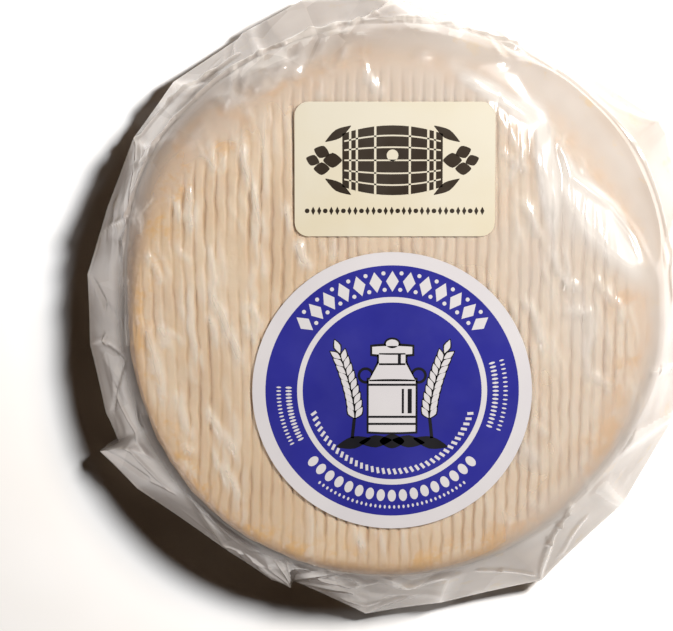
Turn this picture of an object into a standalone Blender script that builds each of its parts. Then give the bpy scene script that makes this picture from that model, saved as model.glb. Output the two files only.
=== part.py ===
"""A wheel of beer-washed cheese in its milky wrap, with two paper labels on top.

Metres, +Z up. The wheel lies flat, and the origin is at the middle of its base.
Run it with: blender --background --python part.py
"""

import math
import random

import bmesh
import bpy
from mathutils import Vector

MM = 0.001

# The wheel: a flat face marked by the slats of a draining mat, above rounded shoulders
FACE_HEIGHT = 46.0 * MM
FACE_RADIUS = 93.0 * MM
FACE_CENTRE = Vector((-1.8 * MM, -2.2 * MM))

# Where its shoulder starts, how far its side reaches and how far the shoulder falls, for every
# 45 degrees anticlockwise from the east
OUTLINE_MM = (
    (86, 102, 13), (84, 109, 16), (89, 110, 15), (89, 108, 14),
    (90.5, 97, 9), (90, 96.5, 9), (87, 94.5, 9), (86, 97, 11),
)
# Flat facets that the tight wrap pressed into the shoulder: the way each faces and its slope, in
# degrees, and where it begins
SHOULDER_FACETS = ((41, 21.5, 80.5 * MM), (37, 36.0, 84.3 * MM))

# The ribs that the mat left, with a narrow groove between one rib and the next
RIB_PITCH = 3.87 * MM
RIB_CREST_SHARE = 0.56
RIB_DEPTH = 0.75 * MM
LOW_RIB = 0.55
RIB_WANDER = 0.45 * MM
WANDER_LENGTH = 46.0 * MM
SWELL_SHARE, SWELL_LENGTH, SWELL_DRIFT = 0.2, 57.0 * MM, 31.0 * MM
FACE_SAG = 0.35 * MM
SAG_LENGTH_X, SAG_LENGTH_Y = 195.0 * MM, 232.0 * MM
FACE_ROWS = 16
RIB_SEED = 7

# The wrap: each corner that its skirt is folded to, anticlockwise from the east, with its height
RIM_CORNERS_MM = (
    (114.5, 2, 9), (108, 40, 13), (102.5, 57, 9), (99.5, 65, 12), (102, 72.5, 15),
    (67, 91.5, 9), (43, 104, 12), (17, 111, 8), (-4, 118.4, 12), (-34, 115, 9),
    (-47, 107.7, 15), (-59, 100.5, 8), (-81.5, 85, 13), (-97, 64, 9), (-114.5, 13, 12),
    (-114.3, -14, 8), (-108.5, -40, 10), (-104.5, -49, 9), (-110.5, -54, 17), (-93, -71.6, 8),
    (-62, -94, 9), (-39.5, -108.7, 14), (-10, -118.4, 8), (18.6, -113.6, 10), (57, -104, 13),
    (88, -75.5, 8), (107, -41, 11),
)
CREASE_WIDTH = 4.5 * MM
SHORT_SIDE = 3 * CREASE_WIDTH
CREASE_DEPTH = 1.0 * MM
SKIRT_BULGE = 0.9 * MM
SKIRT_STEPS = (0.32, 0.66)
SHOULDER_STEPS = (0.4, 0.75, 1.0)
LEAST_SHOULDER = 1.0 * MM
TRIED_RADII = 60
RIM_STEP = 7.0 * MM

# Below the rim the wrap is tucked under the wheel, and lies flat on what carries it
TUCK_SHARE, TUCK_HEIGHT = 0.965, 2.2 * MM
BASE_SHARE = 0.90

# Two paper labels, which lie across the ribs
LABEL_THICKNESS = 0.4 * MM
LABEL_GAP = 0.3 * MM
ROUND_LABEL_RADIUS = 50.8 * MM
ROUND_LABEL_CENTRE = (-0.9 * MM, -25.7 * MM)
ROUND_LABEL_SIDES = 96
CORNER_LABEL_SIZE = (72.0 * MM, 48.4 * MM)
CORNER_LABEL_CENTRE = (-0.15 * MM, 55.0 * MM)
CORNER_RADIUS = 5.0 * MM
CORNER_SEGMENTS = 6


def clear_scene():
    for obj in list(bpy.data.objects):
        bpy.data.objects.remove(obj)


def material(name, colour, roughness):
    made = bpy.data.materials.new(name)
    made.use_nodes = True
    shader = made.node_tree.nodes["Principled BSDF"]
    shader.inputs["Base Color"].default_value = (*colour, 1)
    shader.inputs["Roughness"].default_value = roughness
    shader.inputs["Metallic"].default_value = 0
    return made


def add_object(name, bm, finish, place=(0, 0, 0)):
    """Makes an object of a bmesh, with its faces pointing out."""
    bmesh.ops.recalc_face_normals(bm, faces=bm.faces)
    mesh = bpy.data.meshes.new(name)
    bm.to_mesh(mesh)
    bm.free()
    mesh.shade_smooth()
    mesh.set_sharp_from_angle(angle=math.radians(30))
    mesh.materials.append(finish)
    obj = bpy.data.objects.new(name, mesh)
    obj.location = place
    bpy.context.scene.collection.objects.link(obj)
    return obj


def rib_columns():
    """The lines that run along the ribs, as (x, crest height share), west to east."""
    draw = random.Random(RIB_SEED)
    half_crest = RIB_PITCH * RIB_CREST_SHARE / 2
    count = int(FACE_RADIUS / RIB_PITCH)
    columns = []
    for rib in range(-count, count + 1):
        middle = rib * RIB_PITCH
        crest = draw.uniform(LOW_RIB, 1)
        columns.append((middle - RIB_PITCH / 2, 0))
        columns.append((middle - half_crest, crest))
        columns.append((middle + half_crest, crest))
    inside = [c for c in columns if abs(c[0]) < FACE_RADIUS - half_crest / 2]
    return [(-FACE_RADIUS, 0), *inside, (FACE_RADIUS, 0)]


def wave(distance, length):
    return math.sin(math.tau * distance / length)


def outline(turn):
    """Where the shoulder starts, how far the side reaches and how far the shoulder falls."""
    step = turn % math.tau / math.tau * len(OUTLINE_MM)
    before, share = int(step) % len(OUTLINE_MM), step % 1
    share = share * share * (3 - 2 * share)
    rows = OUTLINE_MM[before], OUTLINE_MM[(before + 1) % len(OUTLINE_MM)]
    return [(first * (1 - share) + second * share) * MM for first, second in zip(*rows)]


def shoulder_drop(radius, turn):
    """How far the wheel lies below its face at a place."""
    start, reach, fall = outline(turn)
    share = min(max((radius - start) / (reach - start), 0), 1)
    drop = fall * (1 - math.sqrt(1 - share**2))
    for facing, slope, begins in SHOULDER_FACETS:
        out = radius * math.cos(turn - math.radians(facing)) - begins
        drop = max(drop, math.tan(math.radians(slope)) * out)
    return drop


def leaving_radius(turn, rim_reach, rim_height):
    """Where the wrap leaves the wheel: the place that stands highest as seen from the rim."""
    width = outline(turn)[1] - FACE_RADIUS
    best, leaves = 0, FACE_RADIUS
    for step in range(TRIED_RADII + 1):
        radius = FACE_RADIUS + width * 0.995 * step / TRIED_RADII
        rise = FACE_HEIGHT - shoulder_drop(radius, turn) - rim_height
        if rise / (rim_reach - radius) > best:
            best, leaves = rise / (rim_reach - radius), radius
    return max(leaves, FACE_RADIUS + LEAST_SHOULDER)


def face_point(x, crest, across):
    """A point of the ribbed face. across runs from -1 to 1 along the chord at x."""
    chord = math.sqrt(max(FACE_RADIUS**2 - x**2, 0))
    y = across * chord
    wander = RIB_WANDER * (1 - across**2) * wave(y + x / 5, WANDER_LENGTH)
    swell = 1 - SWELL_SHARE * (1 - wave(y / SWELL_LENGTH + x / SWELL_DRIFT, 1))
    sag = FACE_SAG * (1 + wave(x, SAG_LENGTH_X) * wave(y, SAG_LENGTH_Y)) / 2
    on_rim = abs(across) > 1 - 1e-6 or chord < 1e-6
    rib = RIB_DEPTH * (0.5 if on_rim else crest * swell)
    height = FACE_HEIGHT - RIB_DEPTH - sag + rib
    height -= shoulder_drop(math.hypot(x, y), math.atan2(y, x))
    return Vector((FACE_CENTRE.x + x + wander, FACE_CENTRE.y + y, height))


def add_ribbed_face(bm):
    """A grid whose columns follow the ribs and whose rim is the face's circle. Returns the rim.

    Its rows stand closer together near the rim, where the shoulder starts to fall.
    """
    columns = rib_columns()
    last = len(columns) - 1
    bmesh.ops.create_grid(bm, x_segments=last, y_segments=FACE_ROWS, size=1)
    for vert in bm.verts:
        x, crest = columns[round((vert.co.x + 1) / 2 * last)]
        vert.co = face_point(x, crest, math.sin(math.pi / 2 * vert.co.y))
    bmesh.ops.remove_doubles(bm, verts=bm.verts, dist=0.01 * MM)
    return [edge for edge in bm.edges if edge.is_boundary]


def rim_stations():
    """Points along the rim, as (place, closeness to a corner from 0 to 1)."""
    corners = [Vector(corner) * MM for corner in RIM_CORNERS_MM]
    stations = []
    for start, end in zip(corners, corners[1:] + corners[:1]):
        length = (end - start).length
        way = (end - start) / length
        stations.append((start, 1.0))
        if length < SHORT_SIDE:
            stations.append((start + way * length / 2, 0.0))
            continue
        flat = length - 2 * CREASE_WIDTH
        steps = max(1, round(flat / RIM_STEP))
        for step in range(steps + 1):
            stations.append((start + way * (CREASE_WIDTH + flat * step / steps), 0.0))
    return stations


def skirt_levels(station):
    """The places of one station from the first shoulder down to the base."""
    rim, corner = station
    outward = rim.xy - FACE_CENTRE
    reach = outward.length
    outward.normalize()

    def place(radius, height):
        return Vector((*(FACE_CENTRE + outward * radius), height))

    turn = math.atan2(outward.y, outward.x)
    width = leaving_radius(turn, reach, rim.z) - FACE_RADIUS
    radii = [FACE_RADIUS + width * step for step in SHOULDER_STEPS]
    levels = [place(radius, FACE_HEIGHT - shoulder_drop(radius, turn)) for radius in radii]
    leaves = levels[-1]
    bulge = SKIRT_BULGE - CREASE_DEPTH * (1 - corner)
    for share in SKIRT_STEPS:
        between = leaves.lerp(rim, share)
        levels.append(between + outward.to_3d() * bulge * math.sin(math.pi * share))
    levels.append(rim)
    levels.append(place(reach * TUCK_SHARE, min(TUCK_HEIGHT, rim.z / 2)))
    levels.append(place(reach * BASE_SHARE, 0))
    return levels


def add_skirt(bm, face_rim, station_of):
    """Rings from the face's rim over the shoulders and down the skirt, closed by the base."""
    paths = [skirt_levels(station) for station in rim_stations()]
    ring = bmesh.ops.create_circle(bm, cap_ends=False, radius=1, segments=len(paths))
    ring_verts = sorted(ring["verts"], key=lambda v: math.atan2(v.co.y, v.co.x) % math.tau)
    ring_edges = list({edge for vert in ring_verts for edge in vert.link_edges})
    for index, vert in enumerate(ring_verts):
        vert[station_of] = index
        vert.co = paths[index][0]
    bmesh.ops.bridge_loops(bm, edges=face_rim + ring_edges)
    for level in range(1, len(paths[0])):
        made = bmesh.ops.extrude_edge_only(bm, edges=ring_edges)["geom"]
        ring_edges = [e for e in made if isinstance(e, bmesh.types.BMEdge) and e.is_boundary]
        for vert in (v for v in made if isinstance(v, bmesh.types.BMVert)):
            vert.co = paths[vert[station_of]][level]
    bmesh.ops.edgeloop_fill(bm, edges=ring_edges)


def make_wrapped_cheese(finish):
    bm = bmesh.new()
    station_of = bm.verts.layers.int.new("station")
    face_rim = add_ribbed_face(bm)
    add_skirt(bm, face_rim, station_of)
    return add_object("wrapped_cheese", bm, finish)


def make_round_label(finish, height):
    bm = bmesh.new()
    bmesh.ops.create_cone(
        bm,
        cap_ends=True,
        segments=ROUND_LABEL_SIDES,
        radius1=ROUND_LABEL_RADIUS,
        radius2=ROUND_LABEL_RADIUS,
        depth=LABEL_THICKNESS,
    )
    return add_object("round_label", bm, finish, (*ROUND_LABEL_CENTRE, height))


def make_corner_label(finish, height):
    bm = bmesh.new()
    bmesh.ops.create_cube(bm, size=1)
    bmesh.ops.scale(bm, verts=bm.verts, vec=(*CORNER_LABEL_SIZE, LABEL_THICKNESS))
    upright = [e for e in bm.edges if abs(e.verts[0].co.z - e.verts[1].co.z) > LABEL_THICKNESS / 2]
    bmesh.ops.bevel(
        bm,
        geom=upright,
        offset=CORNER_RADIUS,
        offset_type="OFFSET",
        affect="EDGES",
        segments=CORNER_SEGMENTS,
        profile=0.5,
        material=-1,
    )
    return add_object("cream_label", bm, finish, (*CORNER_LABEL_CENTRE, height))


def main():
    clear_scene()
    wrap = material("cream rind under a milky wrap", (0.60, 0.46, 0.33), 0.42)
    blue_paper = material("blue and white printed paper", (0.05, 0.05, 0.36), 0.38)
    cream_paper = material("cream paper", (0.83, 0.73, 0.50), 0.42)
    make_wrapped_cheese(wrap)
    label_height = FACE_HEIGHT + LABEL_GAP + LABEL_THICKNESS / 2
    make_round_label(blue_paper, label_height)
    make_corner_label(cream_paper, label_height)


main()
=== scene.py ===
# %% [markdown]
# # A wheel of beer-washed cheese in a milky wrap
#
# A soft wheel lies on a table, seen from above. A draining mat has left ribs across its flat
# face, its rim is patched with ochre where it was washed, and it is folded into a thin sheet of
# milky film. Two paper labels are stuck on the film.
#
# The measured frame comes first. It holds the solid of the whole wrapped wheel, which we dress
# with a real wheel and a real sheet of film, and the two labels, which keep their solids.

import math
import random

import bmesh
import bpy
import numpy as np
from mathutils import Matrix, Vector, noise


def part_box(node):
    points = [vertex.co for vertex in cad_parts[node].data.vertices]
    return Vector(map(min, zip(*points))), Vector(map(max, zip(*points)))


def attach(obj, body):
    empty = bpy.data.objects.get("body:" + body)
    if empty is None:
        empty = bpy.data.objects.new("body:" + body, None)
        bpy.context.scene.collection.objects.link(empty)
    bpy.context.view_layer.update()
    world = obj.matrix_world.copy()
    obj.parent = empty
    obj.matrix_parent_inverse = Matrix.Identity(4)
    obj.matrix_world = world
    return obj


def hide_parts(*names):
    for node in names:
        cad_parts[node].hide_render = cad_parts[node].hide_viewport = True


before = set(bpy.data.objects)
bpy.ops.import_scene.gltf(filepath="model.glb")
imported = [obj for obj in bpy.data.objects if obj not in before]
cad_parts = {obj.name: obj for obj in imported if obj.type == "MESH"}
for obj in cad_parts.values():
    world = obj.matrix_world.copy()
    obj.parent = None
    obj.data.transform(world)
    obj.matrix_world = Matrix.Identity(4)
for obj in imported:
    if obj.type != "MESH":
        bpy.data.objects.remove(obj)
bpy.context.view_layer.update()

# %% [markdown]
# ## The camera
#
# The picture was taken from almost straight above, from a little towards the far edge of the
# wheel. A long lens keeps the face round. We give the width of table that the picture spans at
# the height of the face, and let that set the lens.

# %% Camera
MM = 0.001
LABEL_GAP = 0.3 * MM
FACE_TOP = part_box("round_label")[0].z - LABEL_GAP
CAMERA_DISTANCE = 900 * MM
CAMERA_TILT = math.radians(7.5)
PICTURE_WIDTH = 243.6 * MM
PICTURE_MIDDLE = Vector((-21.1 * MM, 1.95 * MM, FACE_TOP))
SENSOR_WIDTH = 36.0


def make_camera():
    data = bpy.data.cameras.new("camera")
    data.sensor_width = SENSOR_WIDTH
    data.lens = SENSOR_WIDTH * CAMERA_DISTANCE / PICTURE_WIDTH
    camera = bpy.data.objects.new("camera", data)
    back = Vector((0, math.sin(CAMERA_TILT), math.cos(CAMERA_TILT)))
    camera.location = PICTURE_MIDDLE + back * CAMERA_DISTANCE
    camera.rotation_euler = (-CAMERA_TILT, 0, 0)
    bpy.context.scene.collection.objects.link(camera)
    bpy.context.scene.camera = camera
    print("camera lens", round(data.lens, 1), "mm")


make_camera()

# %% [markdown]
# ## Helpers
#
# Every piece ends in the same way: its faces are turned outwards, it is shaded smooth, it rides
# on the frame's one body, and it takes its finish. We count the open edges too, since a closed
# piece has none.

# %% Helpers for pieces
SHARP_ANGLE = math.radians(60)


def verts_of(items):
    """The points of some edges or faces, each of them once."""
    return list({vert for item in items for vert in item.verts})


def only(kind, items):
    return [item for item in items if isinstance(item, kind)]


def new_object(bm, name, finish):
    mesh = bpy.data.meshes.new(name)
    bm.to_mesh(mesh)
    bm.free()
    mesh.materials.append(finish)
    made = bpy.data.objects.new(name, mesh)
    bpy.context.scene.collection.objects.link(made)
    return made


def finish_piece(bm, name, finish):
    bmesh.ops.recalc_face_normals(bm, faces=bm.faces)
    open_edges = sum(not edge.is_manifold for edge in bm.edges)
    piece = new_object(bm, name, finish)
    piece.data.shade_smooth()
    piece.data.set_sharp_from_angle(angle=SHARP_ANGLE)
    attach(piece, "root")
    piece.data.calc_loop_triangles()
    print(name, len(piece.data.loop_triangles), "triangles,", open_edges, "open edges")
    return piece


# %% [markdown]
# A material is a small tree of nodes, so one helper adds a node and joins or sets its inputs, and
# the others name the kinds of node that we use most: a cloud of noise, a smooth spread of its
# values, a mix of two colours, a value painted on the points, and a bump.

# %% Helpers for materials


def new_finish(name, roughness):
    finish = bpy.data.materials.new(name)
    finish.use_nodes = True
    shader = finish.node_tree.nodes["Principled BSDF"]
    shader.inputs["Roughness"].default_value = roughness
    return finish, shader


def join(finish, socket, value):
    if isinstance(value, bpy.types.NodeSocket):
        finish.node_tree.links.new(value, socket)
    else:
        socket.default_value = value


def add_node(finish, kind, inputs, output=0, **settings):
    """Adds a node, sets or joins its inputs by name or number, and returns one of its outputs."""
    made = finish.node_tree.nodes.new(kind)
    for name, value in settings.items():
        setattr(made, name, value)
    for key, value in inputs.items():
        join(finish, made.inputs[key], value)
    return made.outputs[output]


def place_of(finish, stretch=(1, 1, 1)):
    place = add_node(finish, "ShaderNodeTexCoord", {}, output="Object")
    return add_node(finish, "ShaderNodeMapping", {"Vector": place, "Scale": stretch})


def cloud(finish, place, scale, detail=3.0, roughness=0.55):
    inputs = {"Vector": place, "Scale": scale, "Detail": detail, "Roughness": roughness}
    return add_node(finish, "ShaderNodeTexNoise", inputs, output="Fac")


def spread(finish, value, low, high, to_low=0.0, to_high=1.0):
    inputs = {"Value": value, "From Min": low, "From Max": high, "To Min": to_low, "To Max": to_high}
    return add_node(finish, "ShaderNodeMapRange", inputs, interpolation_type="SMOOTHSTEP")


MIX_SOCKETS = (0, 6, 7)
MIX_RESULT = 2


def blend(finish, share, first, second):
    """Mixes two colours. A Mix node holds sockets for every type, so the colours' are numbered."""
    inputs = dict(zip(MIX_SOCKETS, (share, first, second)))
    return add_node(finish, "ShaderNodeMix", inputs, output=MIX_RESULT, data_type="RGBA")


def lay_over(finish, colour, coats):
    """Lays colours over one another. Each coat says how much it covers, and its colour."""
    for share, coat in coats:
        colour = blend(finish, share, colour, coat)
    return colour


def times(finish, first, second):
    return add_node(finish, "ShaderNodeMath", {0: first, 1: second}, operation="MULTIPLY")


def plus(finish, first, second):
    return add_node(finish, "ShaderNodeMath", {0: first, 1: second}, operation="ADD")


def painted(finish, name):
    return add_node(finish, "ShaderNodeAttribute", {}, output="Fac", attribute_name=name)


def dent(finish, height, strength, distance):
    inputs = {"Height": height, "Strength": strength, "Distance": distance}
    return add_node(finish, "ShaderNodeBump", inputs, output="Normal")


# %% [markdown]
# ## The shape of the wheel
#
# The wheel is a flat disc with rounded shoulders. On the far side and towards the light it
# reaches further, and its shoulder starts further in and falls more, as on a soft wheel that
# has sagged a little. A table says so for every 45 degrees, and a smooth curve joins its rows.
# Where the film is pulled tight towards its longest corner, it has pressed two flat facets into
# the shoulder, which catch the light.

# %% Outline of the wheel
FACE_CENTRE = Vector((-1.8 * MM, -2.2 * MM))
FACE_RADIUS = 93.0 * MM
RIND_TOP = FACE_TOP - 0.15 * MM
WHEEL_OUTLINE = (
    # where the shoulder starts, how far the side reaches and how far the shoulder falls,
    # in millimetres, anticlockwise from the east
    (85, 102, 13), (81, 109, 16), (89, 110, 15), (89, 108, 14),
    (90.5, 97, 9), (90, 96.5, 9), (87, 94.5, 9), (86, 97, 11),
)
SHOULDER_FACETS = (
    # the way it faces and its slope in degrees, and where it begins, in millimetres
    (41, 21.5, 79.0), (37, 36.0, 83.8),
)


def smooth_step(low, high, value):
    share = np.clip((value - low) / (high - low), 0, 1)
    return share * share * (3 - 2 * share)


def slow_noise(x, y, length, layer):
    """A smooth random height from -1 to 1 at each place, with hills about one length across."""
    places = zip(x / length, y / length)
    return np.array([noise.noise(Vector((u, v, layer))) for u, v in places])


def from_centre(x, y):
    """The distance and the turn, in radians, of each place from the middle of the face."""
    east, north = x - FACE_CENTRE.x, y - FACE_CENTRE.y
    return np.hypot(east, north), np.arctan2(north, east) % math.tau


def wheel_outline(turn):
    """Where the shoulder starts, how far the side reaches and how far the shoulder falls."""
    rows = np.array(WHEEL_OUTLINE) * MM
    step = turn / math.tau * len(rows)
    before = np.floor(step).astype(int) % len(rows)
    share = smooth_step(0, 1, step % 1)[:, None]
    return (rows[before] * (1 - share) + rows[(before + 1) % len(rows)] * share).T


def facet_drop(radius, turn):
    """How far the flat facets of the shoulder lie below the top."""
    drop = np.zeros_like(radius)
    for facing, slope, begins in SHOULDER_FACETS:
        out = radius * np.cos(turn - math.radians(facing)) - begins * MM
        drop = np.maximum(drop, math.tan(math.radians(slope)) * out)
    return drop


def shoulder_drop(radius, turn):
    start, reach, fall = wheel_outline(turn)
    share = np.clip((radius - start) / (reach - start), 0, 1)
    return np.maximum(fall * (1 - np.sqrt(1 - share**2)), facet_drop(radius, turn))


print("outline of", len(WHEEL_OUTLINE), "rows and", len(SHOULDER_FACETS), "facets")

# %% [markdown]
# ### The mat's print
#
# The mat left flat ribs with a narrow groove between one rib and the next. A rib is a line along
# Y that wanders, so its height is a formula of X and of slow noises: two bend the ribs and make
# them wider and narrower, two more fade the grooves in places, and each rib has its own level. The
# grooves are deeper on the right side.

# %% Ribs
RIB_PITCH = 3.87 * MM
GROOVE_DEPTH = 0.95 * MM
RIB_CROWN = 0.16 * MM
BEND, BEND_LENGTH, BEND_STRETCH = 1.7 * MM, 30 * MM, 2.2
WOBBLE, WOBBLE_LENGTH = 0.6 * MM, 6 * MM
GROOVE_STARTS, GROOVE_BOTTOM = 0.55, 0.97
PRINT_FADES = (-1.5 * MM, 6.0 * MM)
PRINT_STRENGTH, FAINTEST_PRINT = 0.62, 0.12
FADE, FADE_LENGTH = 0.85, 13 * MM
PATCHY, PATCHY_LENGTH = 0.35, 6 * MM
DEEPER, DEEPER_FROM, DEEPER_TO = 0.22, 20 * MM, 60 * MM
RIB_SEED = 7
RIB_COUNT = 60
LOWEST_RIB = -0.32

rib_draw = random.Random(RIB_SEED)
rib_levels = np.array([rib_draw.uniform(LOWEST_RIB, 0) for _ in range(RIB_COUNT)]) * MM


def mat_print(x, y):
    """How far the print lies below the tops of the ribs, and how deep in a groove it is, 0 to 1."""
    wander = BEND * slow_noise(x, y / BEND_STRETCH, BEND_LENGTH, 1.0)
    wander += WOBBLE * slow_noise(x, y, WOBBLE_LENGTH, 2.0)
    across = (x + wander) / RIB_PITCH
    rib = np.round(across)
    away = 2 * np.abs(across - rib)
    strength = PRINT_STRENGTH + FADE * slow_noise(x, y / BEND_STRETCH, FADE_LENGTH, 3.0)
    deeper = DEEPER * smooth_step(DEEPER_FROM, DEEPER_TO, x - y / 3)
    strength += deeper + PATCHY * slow_noise(x, y, PATCHY_LENGTH, 4.0)
    groove = smooth_step(GROOVE_STARTS, GROOVE_BOTTOM, away) * np.clip(strength, FAINTEST_PRINT, 1)
    level = rib_levels[(rib + RIB_COUNT // 2).astype(int) % RIB_COUNT]
    radius, turn = from_centre(x, y)
    kept = 1 - smooth_step(*PRINT_FADES, radius - wheel_outline(turn)[0])
    relief = level * (1 - away**4) - GROOVE_DEPTH * groove - RIB_CROWN * away**2
    return relief * kept, groove * kept


print("ribs every", round(RIB_PITCH / MM, 2), "mm")

# %% [markdown]
# ### Wrinkles
#
# Where there is too much film on the face, it stands up in narrow wrinkles, which mostly lean the
# same way, and the soft rind has set in the same folds. They catch the light as pale streaks
# across the ribs. The long ones are listed as lines of points, and short ones are drawn
# at random between them. Under the labels the film is pressed flat.

# %% Long wrinkles
LONG_WRINKLES = (
    # width and rise, then the points that it runs through, all in millimetres
    (1.6, 1, (-55.7, 68.6), (-53.9, 56.2), (-50.6, 44.8), (-48.1, 33.9), (-46.3, 28)),
    (1.4, 0.6, (-48.1, 78.4), (-47, 56.2), (-46.3, 42.3)),
    (1.6, 0.9, (-40.8, 44.8), (-37.9, 35), (-33.6, 26.6), (-32.9, 18.2)),
    (1.3, 0.8, (-36.8, 29.1), (-34, 23.3), (-29.2, 18.2)),
    (1.5, 0.7, (-51.7, 36.4), (-48.4, 22.6), (-46.6, 14.2)),
    (1.6, 0.9, (-90.1, 25.5), (-86.1, 18.6), (-83.5, 12.4)),
    (1.7, 0.8, (-74.5, 49.2), (-72.3, 39.4), (-73.4, 31)),
    (1.4, 0.6, (-81.4, 46.7), (-78.5, 40.5), (-76.7, 35)),
    (1.5, 0.8, (-68, 28), (-65.8, 20.7), (-64, 11.3)),
    (1.2, 0.6, (-61.8, 60.5), (-61.1, 54)),
    (2, 1.1, (-93, 2.1), (-89.7, -4.4), (-87.2, -12.1), (-86.1, -18.3), (-84.3, -27.8), (-82.8, -33.3)),
    (1.6, 0.9, (-86.1, -0.8), (-83.9, -5.9), (-83.5, -11)),
    (1.7, 0.9, (-74.5, 14.2), (-74.3, 3), (-73.4, -4.1), (-71.2, -14.3), (-70.2, -20.1)),
    (1.4, 0.7, (-68.7, 2.9), (-65.4, -2.6), (-63.6, -11)),
    (2, 1.1, (-66.4, 16), (-65.4, 7.6), (-62.5, 2.1), (-60.4, -4.1), (-57.1, -11), (-55.3, -18.3)),
    (1.5, 0.8, (-54.9, 6.9), (-50.6, 2.5), (-48.4, -1.5), (-48.4, -6.3)),
    (1.3, 0.7, (-54.9, -1.2), (-51.7, -5.9), (-50.2, -9.5)),
    (1.6, 0.9, (-68.7, -31.1), (-66.2, -36.9), (-62.5, -41.7), (-59.3, -46.4), (-57.8, -50.1)),
    (1.9, 0.9, (-79.2, -24.5), (-77.8, -32.9), (-75.6, -39.8), (-73.8, -45)),
    (1.4, 0.9, (-76.7, -47.1), (-73.8, -49.3)),
    (1.4, 0.6, (-63, -52), (-58, -61), (-54.5, -68)),
    (1.6, 0.9, (55.5, 28.4), (58, 20.4), (61.6, 13.8), (68.9, 11.3)),
    (1.8, 0.9, (71, 17.5), (76.5, 10.2), (81.2, 5.4), (82.6, -1.9)),
    (1.9, 0.8, (57.3, 4), (71, 2.9), (71.8, -4.4), (69.2, -12.8), (70.7, -19), (77.5, -23.8),
     (79, -30.4)),
    (1.7, 0.9, (45.3, 9.4), (48.9, 4.7), (51.5, 1), (53.3, -6.6), (54.7, -11.7)),
    (1.5, 0.6, (48.9, -35.8), (56.5, -42.4)),
    (2, 0.6, (46.4, -45.3), (49.7, -49), (52.6, -53)),
    (2, 1.2, (21.8, 89.7), (30.1, 85.7), (38.1, 80.6), (44.6, 76.2), (50.8, 71.5)),
    (2.4, 1.3, (53.4, 70.4), (53.8, 61.5), (53.9, 51), (55.5, 44.1), (58, 35.5)),
    (1.7, 1.3, (55.5, 70.4), (61.3, 59.1), (63.8, 52.1), (71, 46.8), (78.3, 41.9), (86.6, 31.7),
     (94.9, 15.3)),
    (1.4, 0.8, (37.4, 62.4), (42.4, 57.6), (48.9, 54.3)),
    (1.4, 0.8, (39.9, 49.6), (43.5, 55.8), (46.1, 61.6)),
    (1.5, 0.8, (43.9, 45.9), (48.2, 38.6), (50.4, 29.5)),
    (1.6, 0.7, (-12, 88.5), (-6, 84), (-4.5, 80.5)),
)
END_FADE = 0.22


def long_wrinkles(x, y):
    height = np.zeros_like(x)
    for width, rise, *points in LONG_WRINKLES:
        line = np.array(points) * MM
        parts = np.hypot(*np.diff(line, axis=0).T)
        passed = np.concatenate([[0], np.cumsum(parts)]) / parts.sum()
        fold = np.zeros_like(x)
        for start, end, share, length in zip(line, line[1:], passed, parts):
            way = (end - start) / length
            along = np.clip((x - start[0]) * way[0] + (y - start[1]) * way[1], 0, length)
            off = np.hypot(x - start[0] - way[0] * along, y - start[1] - way[1] * along)
            place = share + along / parts.sum()
            fade = smooth_step(-0.05, END_FADE, place) * smooth_step(-0.05, END_FADE, 1 - place)
            fold = np.maximum(fold, fade * np.exp(-((off / (width * MM)) ** 2)))
        height += rise * MM * fold
    return height


print(len(LONG_WRINKLES), "long wrinkles")

# %% Short wrinkles
SHORT_WRINKLES = 170
WRINKLE_SEED = 5
WRINKLE_LEAN = 14
MOST_WRINKLE = 1.3 * MM
LABEL_EASE = 3.0 * MM


def short_wrinkles(x, y):
    draw = random.Random(WRINKLE_SEED)
    height = np.zeros_like(x)
    for _ in range(SHORT_WRINKLES):
        reach, turn = FACE_RADIUS * math.sqrt(draw.uniform(0.04, 1.0)), draw.uniform(0, math.tau)
        lean = math.radians(draw.gauss(WRINKLE_LEAN, 8))
        length, width = draw.uniform(5, 17) * MM, draw.uniform(0.9, 1.7) * MM
        rise = draw.uniform(0.2, 0.65) * MM
        bend, phase = draw.uniform(0.3, 1.3) * MM, draw.uniform(0, math.tau)
        east = x - FACE_CENTRE.x - reach * math.cos(turn)
        north = y - FACE_CENTRE.y - reach * math.sin(turn)
        along = (east * math.sin(lean) - north * math.cos(lean)) / length
        off = east * math.cos(lean) + north * math.sin(lean)
        off = off + bend * np.sin(3 * along + phase)
        body = np.clip(1 - along**2, 0, 1) ** 1.5
        height += rise * body * np.exp(-((off / width) ** 2))
    return height


def label_distance(x, y):
    """How far each place lies outside the nearer label."""
    low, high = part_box("round_label")
    middle = (low + high) / 2
    round_away = np.hypot(x - middle.x, y - middle.y) - (high.x - low.x) / 2
    low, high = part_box("cream_label")
    beside = np.maximum(np.maximum(low.x - x, x - high.x), np.maximum(low.y - y, y - high.y))
    return np.minimum(round_away, beside)


def wrinkle_height(x, y):
    height = np.minimum(long_wrinkles(x, y) + short_wrinkles(x, y), MOST_WRINKLE)
    return height * smooth_step(0, LABEL_EASE, label_distance(x, y))


print(SHORT_WRINKLES, "short wrinkles")

# %% [markdown]
# ## A round face that can carry ribs
#
# A disc made of rings would smear the straight ribs, and a square grid would leave a stepped
# edge. So we take a grid and squeeze it into the circle: each column keeps its X, and its
# points share out the chord there. In the middle the columns are evenly spaced. Towards both
# ends they follow even steps of angle, so that the edge stays evenly divided too.

# %% Make the face grid
COLUMN_STEP = 0.5 * MM
EVEN_UNTIL = math.radians(60)
END_STEPS = 40


def column_places(radius):
    even_width = radius * math.sin(EVEN_UNTIL)
    even = np.linspace(-even_width, even_width, round(2 * even_width / COLUMN_STEP))
    end = radius * np.sin(np.linspace(EVEN_UNTIL, math.pi / 2, END_STEPS))[1:]
    return np.concatenate([-end[::-1], even, end])


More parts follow.
